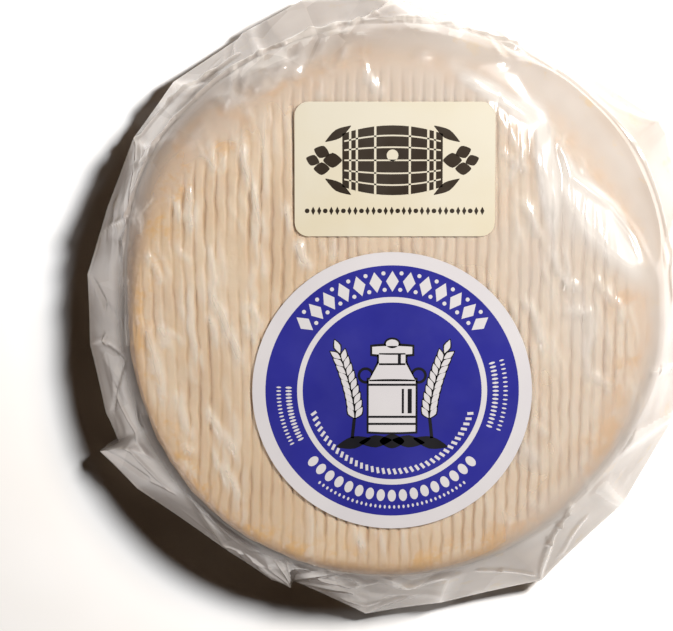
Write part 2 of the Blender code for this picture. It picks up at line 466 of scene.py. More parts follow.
def add_face(bm, radius, rows):
    """A grid squeezed into a circle. Returns the edges round it."""
    columns = column_places(radius)
    last = len(columns) - 1
    bmesh.ops.create_grid(bm, x_segments=last, y_segments=rows, size=1)
    for vert in bm.verts:
        x = columns[round((vert.co.x + 1) / 2 * last)]
        chord = math.sqrt(max(radius**2 - x**2, 0))
        vert.co = (FACE_CENTRE.x + x, FACE_CENTRE.y + vert.co.y * chord, 0)
    bmesh.ops.remove_doubles(bm, verts=bm.verts, dist=0.01 * MM)
    return [edge for edge in bm.edges if edge.is_boundary]


def places_of(verts):
    return (np.array([vert.co[axis] for vert in verts]) for axis in (0, 1))


# %% [markdown]
# The rest of each piece is grown from the rim of that grid, ring by ring. Extruding an edge loop
# copies the values painted on its points, so each point carries the number of its station on
# the rim, and every new ring looks its places up by that number.

# %% Grow rings from the rim


def number_rim(rim, station_of):
    """Numbers the points of the rim and returns the turn of each, by number."""
    verts = verts_of(rim)
    for number, vert in enumerate(verts):
        vert[station_of] = number
    return from_centre(*places_of(verts))[1]


def grow_rings(bm, rim, station_of, rings, layers):
    """Extrudes the rim through each ring of places. layers maps a float layer to its ring values."""
    for number, ring in enumerate(rings):
        made = bmesh.ops.extrude_edge_only(bm, edges=rim)["geom"]
        rim = [edge for edge in only(bmesh.types.BMEdge, made) if edge.is_boundary]
        for vert in only(bmesh.types.BMVert, made):
            station = vert[station_of]
            vert.co = ring[station]
            for layer, values in layers.items():
                vert[layer] = values[number][station]
    return rim


def close_end(bm, rim):
    verts = verts_of(rim)
    middle = sum((vert.co for vert in verts), Vector()) / len(verts)
    bmesh.ops.pointmerge(bm, verts=verts, merge_co=middle)


def polar(turn, radius, height):
    x = FACE_CENTRE.x + radius * np.cos(turn)
    y = FACE_CENTRE.y + radius * np.sin(turn)
    return np.column_stack([x, y, height + 0 * radius])


# %% [markdown]
# ## The wheel
#
# The face takes the mat's print and a part of the wrinkles, and rings extruded from its rim make
# the shoulder, the bulging side and the flat underside. We paint three values on the points as we
# go, and the rind's colours read them. The first is how deep in a groove a point is, or below 0
# how high it stands on a wrinkle. The second is how far over the edge it is: 1 where the shoulder
# starts, 2 at the side and 3 at the foot. The third is painted shade: how much browner the edge is
# made on the side away from the light.

# %% Make the wheel
RIND_ROWS = 110
RIND_FOLD_SHARE = 0.75
RIND_SINK = 0.1 * MM
WHEEL_FOOT = 2.6 * MM
FOOT_HEIGHT = 9.0 * MM
SIDE_BULGE = 0.8 * MM
SHOULDER_RINGS = 12
SIDE_RINGS = 5
FOOT_RINGS = 5
RIND_LUMPS, LUMP_LENGTH = 0.35 * MM, 19 * MM
SIDE_GRAIN, GRAIN_LENGTH, GRAIN_OUTWARDS = 0.5 * MM, 6 * MM, 0.8
UNEVEN_REACH = ((0.5 * MM, 3, 1), (0.3 * MM, 7, 0))
INSIDE_FILM = 0.9 * MM
# the turn that faces away from the light, round which the edge gets painted shade
SHADED_TURN = math.radians(222)


def shade_away_from_light(turn):
    """Painted shade: the edge is made browner round the near left side, away from the light."""
    return smooth_step(0.1, 0.8, np.cos(turn - SHADED_TURN))


def wheel_rings(turn):
    """Rings of (radius, height, edge) from the rim of the face to the middle of the underside."""
    start, reach, fall = wheel_outline(turn)
    reach = reach - INSIDE_FILM
    for swing, waves, phase in UNEVEN_REACH:
        reach = reach + swing * np.sin(waves * turn + phase)
    first = np.arcsin(np.clip((FACE_RADIUS - start) / (reach - start), 0, 0.98))
    rings = []
    for step in range(1, SHOULDER_RINGS + 1):
        lean = first + (math.pi / 2 - first) * step / SHOULDER_RINGS
        radius = start + (reach - start) * np.sin(lean)
        drop = np.maximum(fall * (1 - np.cos(lean)), facet_drop(radius, turn))
        rings.append((radius, RIND_TOP - drop, 1 + np.sin(lean)))
    side_top = RIND_TOP - np.maximum(fall, facet_drop(reach, turn))
    side_foot = WHEEL_FOOT + FOOT_HEIGHT
    for step in range(1, SIDE_RINGS + 1):
        share = step / SIDE_RINGS
        bulge = SIDE_BULGE * math.sin(math.pi * share)
        height = side_top + (side_foot - side_top) * share
        rings.append((reach + bulge, height, 2 + share / 2 + 0 * turn))
    for step in range(1, FOOT_RINGS + 1):
        lean = math.pi / 2 * step / FOOT_RINGS
        radius = reach - FOOT_HEIGHT * (1 - math.cos(lean))
        height = side_foot - FOOT_HEIGHT * math.sin(lean) + 0 * turn
        rings.append((radius, height, 2.5 + step / FOOT_RINGS / 2 + 0 * turn))
    rings.append((reach / 2, WHEEL_FOOT + 0 * turn, 3 + 0 * turn))
    return rings


def make_wheel(finish):
    bm = bmesh.new()
    station_of = bm.verts.layers.int.new("station")
    groove_of = bm.verts.layers.float.new("groove")
    edge_of = bm.verts.layers.float.new("edge")
    lee_shade_of = bm.verts.layers.float.new("lee_shade")
    rim = add_face(bm, FACE_RADIUS, RIND_ROWS)
    turn = number_rim(rim, station_of)
    x, y = places_of(bm.verts)
    radius, face_turn = from_centre(x, y)
    start, reach, _ = wheel_outline(face_turn)
    relief, groove = mat_print(x, y)
    lumps = np.minimum(RIND_LUMPS * slow_noise(x, y, LUMP_LENGTH, 5.0), 0)
    height = RIND_TOP - RIND_SINK + relief + lumps - shoulder_drop(radius, face_turn)
    wrinkles = wrinkle_height(x, y)
    height += RIND_FOLD_SHARE * wrinkles
    groove = groove - wrinkles / MM
    over = np.where(radius < start, radius / start, 1 + (radius - start) / (reach - start))
    for vert, z, deep, out, lee_shade_here in zip(bm.verts, height, groove, over, shade_away_from_light(face_turn)):
        vert.co.z = z
        vert[groove_of] = deep
        vert[edge_of] = out
        vert[lee_shade_of] = lee_shade_here
    places, edges, grooves = [], [], []
    for ring_radius, ring_height, edge in wheel_rings(turn):
        ring = polar(turn, ring_radius, ring_height)
        relief, groove = mat_print(ring[:, 0], ring[:, 1])
        rough = slow_noise(ring[:, 0] + ring[:, 2], ring[:, 1], GRAIN_LENGTH, 6.0)
        rough = SIDE_GRAIN * (rough - GRAIN_OUTWARDS)
        ring[:, 2] += relief
        ring[:, :2] += (rough / ring_radius)[:, None] * ring[:, :2]
        places.append(ring)
        grooves.append(groove)
        edges.append(edge)
    lee_shade = [shade_away_from_light(turn)] * len(places)
    values = {groove_of: grooves, edge_of: edges, lee_shade_of: lee_shade}
    rim = grow_rings(bm, rim, station_of, places, values)
    close_end(bm, rim)
    return finish_piece(bm, "cheese_wheel", finish)


# %% [markdown]
# ### The rind's finish
#
# The rind is a list of coats, one over the other: cream on the ribs, then a painted highlight that
# makes the right side, which the light reaches more, and the wrinkles' crests paler, and painted
# shade in the grooves. Towards the edge it turns tan, with ochre patches where the wash has taken,
# and painted shade makes the edge browner on the side away from the light and the side dark brown
# all round. Clouds of noise at three sizes keep it uneven. A fine grain in the bump gives the dull
# skin, and a thin coat the moist gloss.

# %% Rind colours
CREAM = (0.74, 0.54, 0.33, 1)
PALE_CREAM = (0.84, 0.66, 0.45, 1)
HIGHLIGHT_CREAM = (0.95, 0.85, 0.70, 1)
LEE_SHADE_BROWN = (0.60, 0.38, 0.19, 1)
TAN = (0.74, 0.49, 0.275, 1)
OCHRE = (0.80, 0.47, 0.15, 1)
GROOVE_SHADE_BROWN = (0.55, 0.36, 0.20, 1)
SIDE_SHADE_BROWN = (0.34, 0.19, 0.09, 1)


def rind_colour(finish, place, fine):
    edge, groove = painted(finish, "edge"), painted(finish, "groove")
    along_ribs = place_of(finish, (1, 0.4, 1))
    broad = spread(finish, cloud(finish, along_ribs, 60.0), 0.35, 0.65)
    east = add_node(finish, "ShaderNodeSeparateXYZ", {0: place}, output="X")
    mottle = spread(finish, cloud(finish, along_ribs, 150.0, 4.0, 0.6), 0.42, 0.75)
    patch = spread(finish, cloud(finish, place, 85.0, 5.0, 0.65), 0.47, 0.6)
    patch = times(finish, patch, spread(finish, edge, 0.88, 1.04))
    lee_shade = times(finish, painted(finish, "lee_shade"), spread(finish, fine, 0.0, 1.0, 0.55, 1.0))
    coats = (
        (broad, PALE_CREAM),
        # painted highlight: the right side, which the light reaches more, is made paler
        (spread(finish, east, -20 * MM, 85 * MM, 0.0, 0.7), HIGHLIGHT_CREAM),
        (times(finish, mottle, 0.5), TAN),
        (times(finish, fine, 0.16), TAN),
        (spread(finish, edge, 0.86, 1.4, 0.0, 0.7), TAN),
        # painted highlight: the wrinkles' crests and the ribs' tops are made paler
        (spread(finish, groove, -0.8, 0.3, 0.8, 0.0), HIGHLIGHT_CREAM),
        # painted shade: darker the deeper a point lies in a groove
        (times(finish, spread(finish, groove, 0.05, 0.8), 0.85), GROOVE_SHADE_BROWN),
        (times(finish, patch, 0.8), OCHRE),
        # painted shade: this coat and the next make the edge browner away from the light
        (times(finish, spread(finish, edge, 0.93, 1.35, 0.0, 0.85), lee_shade), LEE_SHADE_BROWN),
        (times(finish, spread(finish, edge, 1.25, 1.85), lee_shade), SIDE_SHADE_BROWN),
        # painted shade: the side of the wheel dark brown all round
        (spread(finish, edge, 1.75, 2.4), SIDE_SHADE_BROWN),
    )
    return lay_over(finish, CREAM, coats)


# %% Rind finish


def rind_finish():
    finish, shader = new_finish("washed_rind", 0.5)
    place = place_of(finish)
    fine = spread(finish, cloud(finish, place, 260.0, 4.0, 0.65), 0.3, 0.7)
    join(finish, shader.inputs["Base Color"], rind_colour(finish, place, fine))
    join(finish, shader.inputs["Roughness"], spread(finish, fine, 0.0, 1.0, 0.62, 0.42))
    grain = plus(finish, cloud(finish, place, 900.0, 3.0), fine)
    join(finish, shader.inputs["Normal"], dent(finish, grain, 0.4, 0.2 * MM))
    shader.inputs["Coat Weight"].default_value = 0.3
    shader.inputs["Coat Roughness"].default_value = 0.32
    shader.inputs["Subsurface Weight"].default_value = 0.12
    shader.inputs["Subsurface Radius"].default_value = (1.0, 0.55, 0.3)
    shader.inputs["Subsurface Scale"].default_value = 1.5 * MM
    return finish


wheel = make_wheel(rind_finish())

# %% [markdown]
# ## The film
#
# A square of milky film is laid over the wheel and gathered under it. It clings to the face,
# bends over the shoulder, and is then stretched out to a rim of folds, so between shoulder and
# rim it is made of flat facets, with creases that run together at each corner of the rim.
#
# We list the corners, going anticlockwise from the east. Each has the turn on the
# shoulder that its crease comes from, and its place and height. Where the place steps back
# against the turn, the film doubles over itself, and that makes a pleat or an ear.

# %% The rim of folds
RIM_CORNERS = (
    # turn of its crease in degrees, then x, y and height in millimetres
    (1, 114.5, 2, 9), (9, 112.5, 17, 12), (12, 114.2, 20, 9), (20, 108, 40, 13),
    (28, 104.5, 57, 8), (33, 102, 66, 10), (37, 99, 71, 12), (50, 67, 91.5, 9),
    (60, 53, 98, 12), (68, 43, 104, 12), (80, 17, 111, 8), (91, -4, 118.4, 12),
    (104, -34, 115, 9), (111, -47, 107.7, 15), (115, -56, 103, 9), (119, -58, 100.5, 8),
    (133, -81.5, 85, 13), (147, -97, 64, 9), (160, -107, 38, 9), (173, -114.5, 13, 12),
    (184, -114.3, -14, 8), (196, -108.5, -40, 9), (202, -104, -51, 8), (207, -110.5, -54, 14),
    (214, -97, -69, 10), (229, -62, -94, 9), (241, -46, -104.6, 10), (247, -38.5, -107.6, 11),
    (250, -37.5, -105.5, 8), (266, -10, -118.4, 8),
    (279, 18.6, -113.6, 10), (298, 57, -104, 13), (307, 70, -92, 9), (319, 88, -75.5, 8),
    (340, 107, -41, 11), (347, 111, -26, 8), (350, 109.5, -24, 12), (354, 114, -14, 10),
)
CORNER_PULL = 0.5
FILM_GAP = 0.22 * MM
RIM_SAG = 1.0 * MM


def rim_of_folds(turn):
    """The place on the rim that the film at each turn of the shoulder is stretched to."""
    table = np.array(RIM_CORNERS, float)
    corners = np.radians(table[:, 0])
    places = table[:, 1:] * MM
    after = np.searchsorted(corners, turn, side="right") % len(corners)
    before = after - 1
    gap = (corners[after] - corners[before]) % math.tau
    share = ((turn - corners[before]) % math.tau) / gap
    share = share - CORNER_PULL * np.sin(math.tau * share) / math.tau
    rim = places[before] + (places[after] - places[before]) * share[:, None]
    rim[:, 2] -= RIM_SAG * np.sin(math.pi * share)
    return rim


print(len(RIM_CORNERS), "corners on the rim")

# %% [markdown]
# ### Creases
#
# Film that has been crushed and pulled flat again is all flat facets. One crease is a line with
# a tent-shaped ridge or furrow along it. A wide tent makes two facets with a sharp line between
# them, and a narrow one makes a fine crinkle. Those that the eye follows are listed. The
# rest are drawn at random: round the skirt, the fine ones most on the near and left sides, and
# ridges over the shoulder, most of them on the far left.

# %% Creases in the skirt
SKIRT_RADIUS = 106 * MM
SKIRT_DROP = 40 * MM
CREASES = (
    # from turn and share of the way down, to turn and share, then width and rise in millimetres
    (165.5, 0.95, 156.5, -0.1, 2.6, 1), (156.5, -0.1, 151, -0.3, 2.6, 0.9),
    (164.5, 0.7, 162.5, -0.05, 1.6, 0.5), (172, 0.97, 177, 0.56, 1.8, -0.7),
    (177, 0.56, 179.5, 0.1, 1.8, -0.6), (166, 0.95, 171.5, 0.97, 1.8, -0.6),
    (184, 1, 183, 0.54, 2.6, 1), (183, 0.54, 186, 0.08, 2.6, 0.9),
    (187, 0.04, 192.5, 0.54, 2, -0.7), (192.5, 0.54, 199.5, 0.96, 2, -0.7),
    (193, 0.52, 208.5, 0.28, 1.8, 0.6), (205.5, 1, 207, 0.52, 2.4, 1.2),
    (207, 0.52, 209.5, 0.25, 2, 0.8), (205.5, 1, 213, 0.62, 1.8, -0.7),
    (208, 0.52, 217.5, 0.42, 1.6, 0.4), (213, 0.64, 218, 0.42, 1.6, 0.4),
    (228, 0.86, 233.5, 0.7, 1.8, 0.6), (233.5, 0.7, 234, 0.92, 1.6, 0.5),
    (236.5, 0.68, 246.5, 1, 1.6, 0.9), (237.5, 0.86, 246.5, 1, 1.5, 0.8),
    (244, 0.24, 247.5, 0.95, 1.5, 0.9), (246.5, 0.04, 248.5, 0.95, 1.5, 0.9),
    (241.5, 0.56, 247, 1, 1.5, 0.9), (235.5, 0.64, 238.5, 0.68, 2, 0.6),
    (250, 0.86, 257.5, -0.08, 3.2, 0.9), (257.5, -0.08, 263.5, 0.16, 3.2, 0.9),
    (256, 0.46, 267, 0.14, 2.4, 0.6), (266, 1, 272.5, 0.66, 2.8, 0.8),
    (252.5, 0.98, 260.5, 0.52, 2.4, 0.5), (260.5, 0.86, 268, 0.72, 2.2, 0.5),
    (269, -0.1, 274, 0.32, 4, 0.8), (274, 0.32, 281.5, 0.12, 4, 0.8),
    (289.5, 0.22, 292.5, 0.4, 2, 0.7), (292.5, 0.4, 297.5, 0.8, 2, 0.8),
    (315, -0.05, 310, 0.12, 2.2, 1.2), (310, 0.12, 305, 0.36, 2.2, 1.3),
    (305, 0.36, 298.5, 0.96, 2.2, 1.4), (313, 0.5, 304, 0.86, 2.6, 0.6),
    (351.5, 0.44, 350, -0.12, 2.4, 0.9), (4.5, 0.2, 358, -0.24, 2.2, 1),
    (74, 0.26, 66.5, -0.24, 2.4, 0.5), (80, 0.9, 72, 0.93, 2, 0.5),
    (71.5, 0.9, 65.5, 0.12, 2.6, 0.7), (87.5, 0.75, 93, 0.28, 2.2, 1.2),
    (93, 0.28, 98.5, -0.08, 2.2, 1.2), (99.5, -0.06, 105, 0.06, 2.6, 0.8),
    (105, 0.06, 110, -0.02, 2.6, 0.9), (113, 1, 115.5, 0, 2.8, 1.1),
    (113, -0.3, 117.5, -0.16, 2.2, 0.9), (121, 1, 122, 0.6, 2.2, -1.2),
    (121, 0.44, 126.5, 0.4, 3.6, 1.1), (126.5, 0.4, 136, 0.6, 3.6, 1.1),
    (136, 0.6, 145.5, 0.78, 3.4, 0.9), (124.5, -0.26, 121.5, -0.02, 2.4, 0.9),
    (146, 1, 144, 0.1, 3, 1), (145.5, 0.78, 149.5, 0.4, 3, 0.9),
    (149.5, 0.4, 157, 0, 3, 0.9), (133, 1, 130, 0.3, 5, 1.2),
    (91, 1, 84, 0, 8, 1), (60, 1, 66, 0.1, 7, 0.9),
    (37, 1, 44, 0.5, 5, 0.5), (20, 1, 14, 0.1, 6, 1),
    (340, 1, 334, 0.1, 8, 1.2), (319, 1, 322, 0.2, 7, 1.2),
    (279, 1, 283, 0.2, 7, 1), (229, 1, 224, 0.2, 6, 0.8),
)
WIDE_CREASES = 26
FINE_CREASES = 40
FINE_TURN, FINE_SPREAD = 235, 55
SHOULDER_CREASES = 48
SHOULDER_TURN, SHOULDER_SPREAD = 118, 27
CREASE_SEED = 23


def loose_creases():
    draw = random.Random(CREASE_SEED)
    for number in range(WIDE_CREASES + FINE_CREASES):
        wide = number < WIDE_CREASES
        turn = draw.uniform(0, 360) if wide else draw.gauss(FINE_TURN, FINE_SPREAD) % 360
        share = draw.uniform(0.2, 1.0)
        length = draw.uniform(14, 36) if wide else draw.uniform(4, 14)
        slant = draw.gauss(0, 38)
        turned = length * math.sin(math.radians(slant)) * MM / SKIRT_RADIUS
        lowered = length * math.cos(math.radians(slant)) * MM / SKIRT_DROP
        rise = draw.choice((-1, 1)) * (draw.uniform(0.4, 1.0) if wide else draw.uniform(0.12, 0.35))
        width = draw.uniform(5, 13) if wide else draw.uniform(1.0, 2.6)
        half = math.degrees(turned) / 2
        yield turn - half, share - lowered / 2, turn + half, share + lowered / 2, width, rise


def shoulder_creases():
    """Ridges on the shoulder and just below it."""
    draw = random.Random(CREASE_SEED + 1)
    for _ in range(SHOULDER_CREASES):
        turn, share = draw.gauss(SHOULDER_TURN, SHOULDER_SPREAD), draw.uniform(-0.75, 0.1)
        length, slant = draw.uniform(8, 26), math.radians(draw.gauss(10, 45))
        half = math.degrees(length * MM * math.sin(slant) / SKIRT_RADIUS) / 2
        lowered = length * MM * math.cos(slant) / SKIRT_DROP / 2
        width, rise = draw.uniform(2.2, 6.5), draw.uniform(0.35, 1.0)
        yield turn - half, share - lowered, turn + half, share + lowered, width, rise


def crease_height(turn, share, creases):
    """The sum of the tent-shaped creases at each turn and share of the way down the skirt."""
    height = np.zeros_like(turn)
    down = share * SKIRT_DROP
    for from_turn, from_share, to_turn, to_share, width, rise in creases:
        apart = (turn - math.radians(from_turn) + math.pi) % math.tau - math.pi
        east = apart * SKIRT_RADIUS
        line_east = math.radians(to_turn - from_turn) * SKIRT_RADIUS
        line_down = (to_share - from_share) * SKIRT_DROP
        length = math.hypot(line_east, line_down)
        from_down = down - from_share * SKIRT_DROP
        along = (east * line_east + from_down * line_down) / length**2
        off = np.abs(east * line_down - from_down * line_east) / length
        past = np.maximum(np.abs(along - 0.5) - 0.5, 0) * length
        height += rise * MM * np.clip(1 - np.hypot(off, past) / (width * MM), 0, 1)
    return height


print(len(CREASES), "creases by hand,", WIDE_CREASES + FINE_CREASES + SHOULDER_CREASES, "drawn")

# %% [markdown]
# ### How milky the film is
#
# Where the film clings it is nearly clear. Where it stands off or lies double it turns white, and
# where it takes the light on a bend that white is a painted highlight. Each point is painted with
# how milky it looks. On the face a rise towards the right and the far side is painted glare, and
# a table of soft oval patches adds glare and double film. Round the skirt a table by turn gives
# the value on the shoulder and at the rim, how warm a tone the film is given there, and how
# crushed it is.

# %% Milkiness
CLEAR = 0.10
RIGHT_GLARE, FAR_GLARE = 0.26, 0.14
MILK_LIMITS = (0.06, 0.98)
MILK_AND_GLARE_PATCHES = (
    # middle, half length, half width, turn in degrees and how milky, in millimetres
    (37, 81.3, 16, 3, -32, 0.6), (48.2, 75.1, 7, 5, -30, 0.6), (54.5, 53, 20, 3, -84, 0.75),
    (73, 39, 28, 6, -52, 0.66), (66, 40, 13, 9, -60, 0.4), (80, 24, 16, 6, -56, 0.35),
    (68, -3, 15, 6, -80, 0.2), (49, -49, 7, 4.5, -40, 0.22), (56, 18, 24, 14, -70, 0.16),
    (0, 84, 50, 9, 0, 0.16), (-62, 70, 16, 6, 38, 0.22), (-78, 52, 12, 5, 55, 0.16),
    (60, -70, 22, 9, 40, 0.2), (-60, -12, 20, 9, -75, 0.06), (10, 28, 50, 9, 0, 0.07),
)
SKIRT = (
    # turn in degrees, milk on the shoulder, milk at the rim, warmth, and how crushed it is
    (0, 0.9, 0.92, 0.75, 0.3), (25, 0.94, 0.94, 0.85, 0.1), (45, 0.95, 0.94, 0.85, 0.06),
    (68, 0.95, 0.9, 0.85, 0.12), (85, 0.9, 0.72, 0.6, 0.3), (100, 0.86, 0.62, 0.45, 0.5),
    (120, 0.76, 0.68, 0.4, 0.6), (135, 0.68, 0.8, 0.45, 0.55), (158, 0.54, 0.84, 0.35, 0.4),
    (180, 0.22, 0.76, 0.15, 0.3), (203, 0.2, 0.84, 0.15, 0.45), (225, 0.22, 0.93, 0.05, 0.45),
    (250, 0.34, 0.82, 0.15, 0.6), (270, 0.44, 0.67, 0.35, 0.45), (292, 0.66, 0.8, 0.7, 0.4),
    (305, 0.84, 0.82, 0.75, 0.35), (318, 0.92, 0.84, 0.75, 0.3), (338, 0.92, 0.88, 0.75, 0.25),
)


def skirt_values(turn):
    turns, *columns = np.array(SKIRT).T
    return [np.interp(np.degrees(turn), turns, column, period=360) for column in columns]


def face_milk(x, y):
    # painted glare: the milk rises towards the right and the far side, and in the patches
    milk = CLEAR + RIGHT_GLARE * smooth_step(-50 * MM, 80 * MM, x + 0.35 * y)
    milk += FAR_GLARE * smooth_step(40 * MM, 95 * MM, y)
    for middle_x, middle_y, length, width, turn, amount in MILK_AND_GLARE_PATCHES:
        east, north = x - middle_x * MM, y - middle_y * MM
        turn = math.radians(turn)
        along = (east * math.cos(turn) + north * math.sin(turn)) / (length * MM)
        off = (north * math.cos(turn) - east * math.sin(turn)) / (width * MM)
        milk += amount * np.exp(-((along**2 + off**2) ** 1.5))
    radius, turn = from_centre(x, y)
    start, reach, _ = wheel_outline(turn)
    over = smooth_step(0.3, 0.95, (radius - start) / (reach - start))
    return milk * (1 - over) + np.maximum(milk, skirt_values(turn)[0]) * over


print(len(MILK_AND_GLARE_PATCHES), "milky patches")

# %% [markdown]
# ### The sheet itself
#
# The face of the sheet is the same squeezed grid as the wheel's. Its rim is then extruded ring by
# ring: over the shoulder, straight out to the rim of folds, round it, and in under the wheel,
# where the film is gathered in radial folds that twist together.

# %% Where the film leaves the wheel
CLING = 0.6
TRIED_RADII = 60


def leaving_radius(turn, rim):
    """Where the film leaves the wheel: the place that stands highest as seen from the rim."""
    wheel_reach = wheel_outline(turn)[1]
    rim_reach = np.hypot(rim[:, 0] - FACE_CENTRE.x, rim[:, 1] - FACE_CENTRE.y)
    best, leaves = np.zeros_like(turn), np.full_like(turn, FACE_RADIUS)
    for share in np.linspace(0.08, 0.995, TRIED_RADII):
        radius = FACE_RADIUS + (wheel_reach - FACE_RADIUS) * share
        rise = FACE_TOP - shoulder_drop(radius, turn) - rim[:, 2]
        steepness = rise / (rim_reach - radius)
        leaves = np.where(steepness > best, radius, leaves)
        best = np.maximum(best, steepness)
    return leaves


# %% Rings of the skirt
ROUND_RINGS = 16
SPAN_RINGS = 43
EDGE_ROUNDS = ((0.999, 0.86), (0.991, 0.6), (0.976, 0.3), (0.958, 0.1))
EDGE_FOOT = 0.3 * MM
GATHER_SHARES = (0.93, 0.86, 0.76, 0.64, 0.52, 0.40, 0.29, 0.19, 0.11, 0.05)
GATHERS = 34
GATHER_TWIST = math.radians(50)
GATHER_FOOT, GATHER_HEIGHT = 0.25 * MM, 1.7 * MM
GATHER_OUTLINE = 1.14
GATHER_MILK = 0.8
SHOULDER_SHARE = 25 * MM
CREST_HIGHLIGHT = 0.3
LOOSE_CREST_HIGHLIGHT = 0.03
RIM_GLINT = 0.12
DEEPEST_FURROW = -4 * MM


def crest_highlight_milk(crest):
    """Painted highlight: the film is made whiter along the crest of a crease."""
    return CREST_HIGHLIGHT * np.minimum(crest / MM, 1) ** 2


def shoulder_rings(turn, rim, placed):
    leaves = leaving_radius(turn, rim)
    for step in range(1, ROUND_RINGS + 1):
        share = step / ROUND_RINGS
        radius = FACE_RADIUS + (leaves - FACE_RADIUS) * math.sin(math.pi / 2 * share)
        ring = polar(turn, radius + FILM_GAP, FACE_TOP - shoulder_drop(radius, turn) + FILM_GAP)
        x, y = ring[:, 0], ring[:, 1]
        crest = np.maximum(crease_height(turn, (radius - leaves) / SHOULDER_SHARE, placed), 0)
        crest *= min(1, 4 * share)
        ring[:, 2] += CLING * mat_print(x, y)[0] + wrinkle_height(x, y) + crest
        yield ring, face_milk(x, y) + crest_highlight_milk(crest)


def span_rings(leaves, rim, turn, shoulder_milk, rim_milk, crushed, placed_creases):
    way = rim - leaves
    outward = np.hypot(way[:, 0], way[:, 1])
    facing = np.column_stack([np.cos(turn) * -way[:, 2], np.sin(turn) * -way[:, 2], outward])
    facing /= np.linalg.norm(facing, axis=1)[:, None]
    loose = tuple(loose_creases())
    for step in range(1, SPAN_RINGS + 1):
        share = step / SPAN_RINGS
        level = np.full_like(turn, share)
        placed = np.maximum(crease_height(turn, level, placed_creases), DEEPEST_FURROW * share)
        drawn = min(1, 5 * share) * crushed * crease_height(turn, level, loose)
        ring = leaves + way * share + facing * ((placed + drawn) * (1 - share**5))[:, None]
        milk = shoulder_milk + (rim_milk - shoulder_milk) * smooth_step(0, 0.35, share)
        # painted glint: a thin white line along the rim
        milk = milk + RIM_GLINT * smooth_step(0.93, 1, share)
        milk = milk + crest_highlight_milk(np.maximum(placed, 0))
        # painted highlight on the crests of the drawn creases
        yield ring, milk + LOOSE_CREST_HIGHLIGHT * np.maximum(drawn, 0) / MM


def gather_rings(edge, turn):
    reach = np.hypot(edge[:, 0], edge[:, 1])
    outline = wheel_outline(turn)[1] * GATHER_OUTLINE
    for share in GATHER_SHARES:
        radius = share * (reach * share + outline * (1 - share))
        twisted = turn + GATHER_TWIST * (1 - share) ** 2
        fold = np.abs(np.sin(GATHERS / 2 * turn + 3 * np.sin(2 * turn + 4 * share)))
        height = GATHER_FOOT + GATHER_HEIGHT * fold**1.5 * min(1, 2.2 * (1.05 - share))
        ring = np.column_stack([radius * np.cos(twisted), radius * np.sin(twisted), height])
        yield ring, 0 * turn + GATHER_MILK


# %% [markdown]
# Three values are painted on the sheet: how milky it is, how warm its tone is, and how much painted
# highlight its colour takes. That is full on the face, where the light falls most, and fades over
# the shoulder. The rings of the shoulder and the skirt are listed first, and the sheet is then
# grown from them.

# %% Make the film
FILM_ROWS = 100
PUFF_HEIGHT, PUFF_LENGTH = 0.3 * MM, 13 * MM
PUFF_MILK, WRINKLE_MILK = 0.1, 0.2
FACE_WARMTH = 0.35
RIM_WARMTH = 0.9
TOP_HIGHLIGHT_FADE = 1.6


def film_rings(turn):
    """The rings of the sheet below its face, with how milky it is in each."""
    rim = rim_of_folds(turn)
    shoulder_milk, rim_milk, _, crushed = skirt_values(turn)
    placed = CREASES + tuple(shoulder_creases())
    rings = list(shoulder_rings(turn, rim, placed))
    leaves = rings[-1][0]
    rings += span_rings(leaves, rim, turn, shoulder_milk, rim_milk, crushed, placed)
    edge = rings[-1][0]
    for inward, lower in EDGE_ROUNDS:
        ring = edge * (inward, inward, lower)
        ring[:, 2] = np.maximum(ring[:, 2], EDGE_FOOT)
        rings.append((ring, rim_milk))
    rings += gather_rings(edge, turn)
    return [ring for ring, _ in rings], [np.clip(milk, *MILK_LIMITS) for _, milk in rings]


def make_film(finish):
    bm = bmesh.new()
    station_of = bm.verts.layers.int.new("station")
    milk_of = bm.verts.layers.float.new("milk")
    warm_of = bm.verts.layers.float.new("warmth")
    top_highlight_of = bm.verts.layers.float.new("top_highlight")
    rim = add_face(bm, FACE_RADIUS, FILM_ROWS)
    turn = number_rim(rim, station_of)
    x, y = places_of(bm.verts)
    radius, face_turn = from_centre(x, y)
    free = smooth_step(0, LABEL_EASE, label_distance(x, y))
    wrinkles = wrinkle_height(x, y)
    puffs = np.clip(slow_noise(x, y, PUFF_LENGTH, 9.0), 0, 1) * free
    puffs *= 1 - smooth_step(0.93, 1.0, radius / FACE_RADIUS)
    height = FACE_TOP + FILM_GAP / 2 + CLING * mat_print(x, y)[0] + wrinkles + PUFF_HEIGHT * puffs
    height -= shoulder_drop(radius, face_turn)
    milk = face_milk(x, y) + PUFF_MILK * puffs + WRINKLE_MILK * wrinkles / MM
    for vert, z, value in zip(bm.verts, height, np.clip(milk, *MILK_LIMITS)):
        vert.co.z = z
        vert[milk_of] = value
        vert[warm_of] = FACE_WARMTH
        vert[top_highlight_of] = 1
    rings, milks = film_rings(turn)
    numbers = range(len(rings))
    fading = np.interp(numbers, (ROUND_RINGS, ROUND_RINGS + SPAN_RINGS), (1, RIM_WARMTH))
    warmth = [skirt_values(turn)[2] * share for share in fading]
    # painted highlight, full on the face and fading over the first rings of the shoulder
    top_highlight = [np.full_like(turn, max(0, 1 - TOP_HIGHLIGHT_FADE * ring / ROUND_RINGS)) for ring in numbers]
    rim = grow_rings(bm, rim, station_of, rings, {milk_of: milks, warm_of: warmth, top_highlight_of: top_highlight})
    close_end(bm, rim)
    return finish_piece(bm, "film_wrap", finish)


